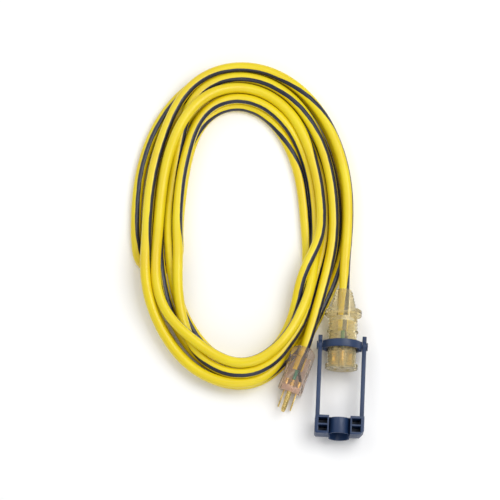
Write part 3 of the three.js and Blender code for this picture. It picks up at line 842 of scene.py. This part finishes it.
def make_collar():
    band = [
        (14.8, -1.6, 0.3), (17.4, -1.6, 0.3), (17.4, -3.85, 0.3), (19.7, -3.85, 0.7), (19.7, 3.85, 0.7),
        (17.4, 3.85, 0.3), (17.4, 1.6, 0.3), (14.8, 1.6, 0.3),
    ]
    meshes = [turned(rounded(band, 4), 112, PIVOT)]
    for side in (-1, 1):
        near, far = side * 15.6, side * 19.65
        boss = rounded([(0, near, 0), (5.2, near, 0), (5.2, far, 0.5), (0, far, 0)])
        meshes.append(turned(boss, 48, PIVOT, "X"))
    made = add_object("sliding_collar", joined(meshes), NAVY, COLLAR)
    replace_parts(made, "lock_collar")
    head = [
        (0, 17.1, 0), (2, 17.1, 0), (2, 24.4, 0), (4.2, 24.4, 0.3), (4.2, 25.5, 0.7), (1.4, 25.5, 0.2),
        (1.1, 25.2, 0.1), (0, 25.2, 0),
    ]
    for name, side in (("left", -1), ("right", 1)):
        profile = rounded([(r, side * x, c) for r, x, c in head])
        pin = add_object(f"{name}_pin", turned(profile, 48, PIVOT, "X"), NAVY, COLLAR)
        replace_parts(pin, f"pivot_pin_{name}")


ARM_IN, ARM_OUT = 20, 24.1


def arm(side):
    """side outline of one arm in Y and Z: bar, round pivot end, heel and knob, seen along X"""
    points = [(CROSS_Y - 1, -3.6), (12.6, -3.6)]
    points += [(COLLAR_Y + 5.4 * math.cos(a), 5.4 * math.sin(a)) for a in np.linspace(-2.2, -0.35, 12)]
    knob_y = COLLAR_Y + 8.5
    points += [(knob_y + 2.1 * math.cos(a), 2.1 * math.sin(a)) for a in np.linspace(-2.3, 2.3, 15)]
    points += [(COLLAR_Y + 5.4 * math.cos(a), 5.4 * math.sin(a)) for a in np.linspace(0.35, 2.2, 12)]
    points += [(12.6, 3.6), (CROSS_Y - 1, 3.6)]
    low, high = (ARM_IN, ARM_OUT) if side > 0 else (-ARM_OUT, -ARM_IN)
    return prism(points, low, high, CONNECTOR, "X")


def crosspiece():
    """end block of the bail: four open pockets and a half-round saddle with a lower lip"""
    half, high, lip = 24.4, 11, END_Y - 3.4
    plan = [
        (-half, CROSS_Y), (-half, END_Y + 1.5), (-half + 1.5, END_Y), (half - 4, END_Y),
        (half, END_Y + 4), (half, CROSS_Y),
    ]
    inner, outer = 12.2, 21.1
    front, back = END_Y + 2.4, CROSS_Y - 2.4
    rib = (front + back) / 2
    cuts = []
    for side in (-1, 1):
        x0, x1 = sorted((side * inner, side * outer))
        cuts.append(block((x0, front, -6), (x1, rib - 0.8, high + 1), CONNECTOR))
        cuts.append(block((x0, rib + 0.8, -6), (x1, back, high + 1), CONNECTOR))
    cuts.append(block((-10.6, END_Y - 1, 0), (10.6, CROSS_Y + 1, high + 1), CONNECTOR))
    first = shaped(prism(plan, -high, high, CONNECTOR), cut=cuts)
    arch = turned([(0, lip), (10.3, lip), (10.3, CROSS_Y - 1.2), (0, CROSS_Y - 1.2)], 64, CONNECTOR)
    arch = shaped(arch, cut=[block((-20, lip - 1, 0), (20, END_Y + 1.2, 20), CONNECTOR)])
    bore = turned([(0, lip - 1), (8.8, lip - 1), (8.8, CROSS_Y + 1), (0, CROSS_Y + 1)], 64, CONNECTOR)
    return shaped(first, add=[arch, arm(-1), arm(1)], cut=[bore], bevel=0.5, segments=3, angle=40)


def make_bail():
    made = add_object("swinging_bail", crosspiece(), NAVY, BAIL, 35)
    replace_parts(made, "bail_frame")


make_collar()
make_bail()


# ---- plug ----------------------------------------------------------------------------------
def box_ring(y, half, low, high, corner, per_corner=10):
    """rounded rectangle at y, as a ring of points"""
    out = []
    corners = ((1, 1, 0), (-1, 1, 1), (-1, -1, 2), (1, -1, 3))
    for sx, sz, quarter in corners:
        cx = sx * (half - corner)
        cz = (high - corner) if sz > 0 else (low + corner)
        for a in np.linspace(0, math.pi / 2, per_corner):
            angle = a + quarter * math.pi / 2
            out.append((cx + corner * math.cos(angle), y, cz + corner * math.sin(angle)))
    return out


def plug_shell():
    """clear body, tall at the face and lower at the cord, hollow, with a collar at the cord"""
    outside = lambda y: (-7.2 + y / 43 * 4.9, 17.6 - y / 43 * 4.3)
    cavity = lambda y: (-4.8 + max(y - 8, 0) / 29 * 4.9, 15.2 - max(y - 8, 0) / 29 * 4.3)
    rings = [box_ring(y, 10, *cavity(y), 1.5) for y in (0.6, 8, 16, 24, 31, 36.4)]
    rings.append(box_ring(37, 9.4, 0.6, 10.4, 2))
    for y, r in ((37.2, 5.8), (37.6, 5.5), (47, 5.5), (47.4, 5.7)):
        rings.append(box_ring(y, r, PLUG_CORD_Z - r, PLUG_CORD_Z + r, r))
    for y, half, rise, corner in ((47.4, 6.4, 6.2, 4), (47, 7, 6.6, 4), (44.2, 10.6, 7.4, 3)):
        rings.append(box_ring(y, half, PLUG_CORD_Z - rise, PLUG_CORD_Z + rise, corner))
    rings.append(box_ring(42.4, 12, *outside(42.4), 2.6))
    # the sides dip in a shallow finger grip
    grip = ((40.5, 0), (32, 0), (24, 0), (20, 0.1), (16, 0.5), (12, 0.5), (8, 0.1), (4, 0), (0.9, 0))
    rings += [box_ring(y, 12.4 - dip, *outside(y), 2.4) for y, dip in grip]
    rings.append(box_ring(0.25, 12.15, -6.9, 17.3, 2.2))
    rings.append(box_ring(0, 11.5, -6.3, 16.7, 1.9))
    rings.append(box_ring(0, 10.5, -5.3, 15.7, 1.6))
    return lofted(rings, PLUG, closed=True)


def blade():
    """brass blade with chamfered tip, drilled hole and crimp barrel"""
    outline = [(9, -3.17), (-15.7, -3.17), (-17.5, -1.9), (-17.5, 1.9), (-15.7, 3.17), (9, 3.17)]
    crimp = turned(rounded([(0, 8.5, 0), (1.9, 8.5, 0.2), (1.9, 13, 0.4), (0, 13, 0)]), 24)
    hole = turned([(0, -2), (1.6, -2), (1.6, 2), (0, 2)], 32, Matrix.Translation((0, -12.5, 0)), "X")
    return shaped(prism(outline, -0.75, 0.75, axis="X"), add=[crimp], cut=[hole], bevel=0.22, segments=2)


def moved(mesh, place):
    """the same mesh, placed by a matrix in millimetres"""
    metres = place.copy()
    metres.translation = metres.translation * MM
    mesh.transform(metres)
    return mesh


def ground_pin():
    """rolled brass pin with a rounded nose and the seam of its sheet"""
    profile = [
        (0, -21.4, 0), (1.5, -21.4, 0.8), (2.4, -18.6, 1.2), (2.4, 9, 0.3), (1.6, 9.5, 0.2),
        (1.6, 13, 0.4), (0, 13, 0),
    ]
    seam = block((-0.3, -21.5, 1.3), (0.3, 4, 3))
    return shaped(turned(rounded(profile, 5), 48), cut=[seam], bevel=0.12, segments=2, angle=50)


def make_plug():
    made = [add_object("plug_body", plug_shell(), CLEAR, ROOT, 50)]
    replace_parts(made[0], "plug_shell")
    carrier = lofted([
        box_ring(0.5, 9.2, -3.9, 14.3, 1.2), box_ring(0.9, 9.6, -4.3, 14.7, 1.3),
        box_ring(5.6, 9.6, -4.3, 14.7, 1.3), box_ring(6, 9.2, -3.9, 14.3, 1.2),
    ], PLUG)
    made.append(add_object("front_carrier", carrier, CARRIER, ROOT, 50))
    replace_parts(made[-1], "blade_carrier")
    for kind, x, colour, slot in CIRCUITS:
        mesh = moved(blade(), PLUG @ Matrix.Translation((x, 0, 0)))
        made.append(add_object(f"{kind}_prong", mesh, BRASS, ROOT))
        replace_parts(made[-1], f"{kind}_blade")
        mesh = wire(kind, (x, 0), 12.4, PLUG_JACKET_Y, PLUG_CORD_Z, WIRE_R - 0.2, PLUG)
        made.append(add_object(f"plug_{kind}_conductor", mesh, colour, ROOT, 60))
        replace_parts(made[-1], f"plug_{kind}_wire")
    mesh = moved(ground_pin(), PLUG @ Matrix.Translation((0, 0, PIN_RISE)))
    made.append(add_object("ground_prong", mesh, BRASS, ROOT))
    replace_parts(made[-1], "ground_pin")
    mesh = wire("ground", (0, PIN_RISE), 12.4, PLUG_JACKET_Y, PLUG_CORD_Z, WIRE_R - 0.2, PLUG)
    made.append(add_object("plug_ground_conductor", mesh, GREEN, ROOT, 60))
    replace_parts(made[-1], "plug_ground_wire")
    return made


plug_pieces = make_plug()


# ---- floor and light -----------------------------------------------------------------------
def make_stage():
    floor_material, tree, shader = new_material("studio_floor", linear(250, 250, 250), 0.7)
    tint = tinted(tree, noise(tree, 3), linear(247, 247, 248), linear(252, 252, 252))
    tree.links.new(tint, shader.inputs["Base Color"])
    size = 4000
    floor = add_object("studio_sweep", block((-size, -size, -10), (size, size, 0)), floor_material, None)
    world = bpy.data.worlds.new("studio")
    bpy.context.scene.world = world
    world.use_nodes = True
    background = world.node_tree.nodes["Background"]
    background.inputs["Color"].default_value = (1, 1, 1, 1)
    background.inputs["Strength"].default_value = 0.5
    lamps = (
        ("key", (0.55, 0.35, 1.3), 1.0, 12),
        ("fill", (-0.9, 0.9, 1.2), 1.3, 6),
        ("front", (0.0, -1.1, 0.9), 1.0, 4),
    )
    for name, place, size, power in lamps:
        data = bpy.data.lights.new(name, "AREA")
        data.size = size
        data.energy = power
        lamp = bpy.data.objects.new(name, data)
        lamp.location = place
        aim = Vector((-0.09, 0.12, 0)) - Vector(place)
        lamp.rotation_euler = aim.to_track_quat("-Z", "Y").to_euler()
        bpy.context.scene.collection.objects.link(lamp)
    bpy.context.scene.view_settings.view_transform = "Standard"


make_stage()
